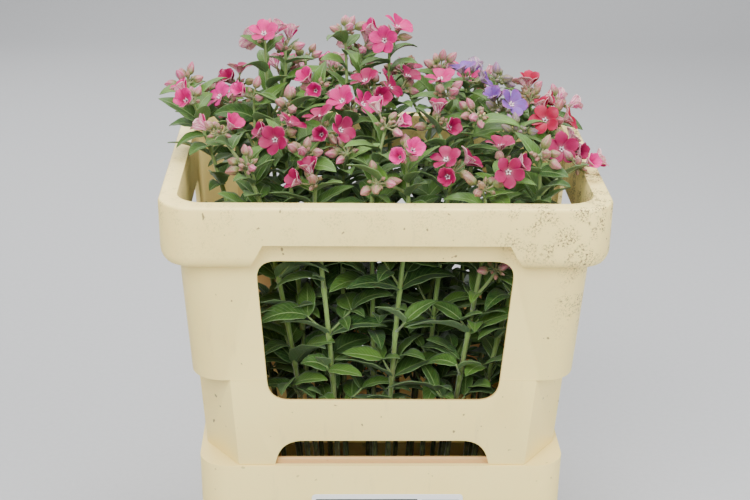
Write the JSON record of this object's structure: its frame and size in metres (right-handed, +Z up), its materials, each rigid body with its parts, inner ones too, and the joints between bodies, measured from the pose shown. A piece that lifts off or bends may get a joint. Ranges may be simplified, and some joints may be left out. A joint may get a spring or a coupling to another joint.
{
  "type": "bucket of cut tweedia stems",
  "caption": "Rectangular flower transport bucket with a windowed collar, holding cut flowering tweedia stems with star-shaped pink blooms and narrow paired leaves.",
  "frame": {"origin": "middle of the bucket's flat underside", "axes": "+Z up, -Y towards the front with the label card, +X to the viewer's right"},
  "size_m": [0.416, 0.3, 0.5711],
  "materials": {
    "bucket_plastic": "cream moulded plastic, satin, with light scuffs",
    "collar_plastic": "cream moulded plastic, satin, with light scuffs",
    "card": "matt printed card, plain panels",
    "water": "clear, still, slightly green",
    "foliage": "soft downy green leaves and stems, matt",
    "petals": "waxy pink petals with pale backs, soft sheen"
  },
  "bodies": {
    "root": {"bucket": "bucket_plastic", "collar": "collar_plastic", "label_card": "card", "water": "water", "stem_01": "foliage", "stem_02": "foliage", "stem_03": "foliage", "stem_04": "foliage", "stem_05": "foliage", "stem_06": "foliage", "stem_07": "foliage", "stem_08": "foliage", "stem_09": "foliage", "stem_10": "foliage", "stem_11": "foliage", "stem_12": "foliage", "stem_13": "foliage", "stem_14": "foliage", "stem_15": "foliage", "stem_16": "foliage", "stem_17": "foliage", "stem_18": "foliage", "stem_19": "foliage", "stem_20": "foliage", "stem_21": "foliage", "stem_22": "foliage", "stem_23": "foliage", "stem_24": "foliage", "stem_25": "foliage", "stem_26": "foliage", "stem_27": "foliage", "stem_28": "foliage", "spray_01": "petals", "spray_02": "petals", "spray_03": "petals", "spray_04": "petals", "spray_05": "petals", "spray_06": "petals", "spray_07": "petals", "spray_08": "petals", "spray_09": "petals", "spray_10": "petals", "spray_11": "petals", "spray_12": "petals", "spray_13": "petals", "spray_14": "petals", "spray_15": "petals", "spray_16": "petals", "spray_17": "petals", "spray_18": "petals", "spray_19": "petals", "spray_20": "petals", "spray_21": "petals", "spray_22": "petals", "spray_23": "petals", "spray_24": "petals", "spray_25": "petals", "spray_26": "petals", "spray_27": "petals", "spray_28": "petals"}
  },
  "joints": []
}
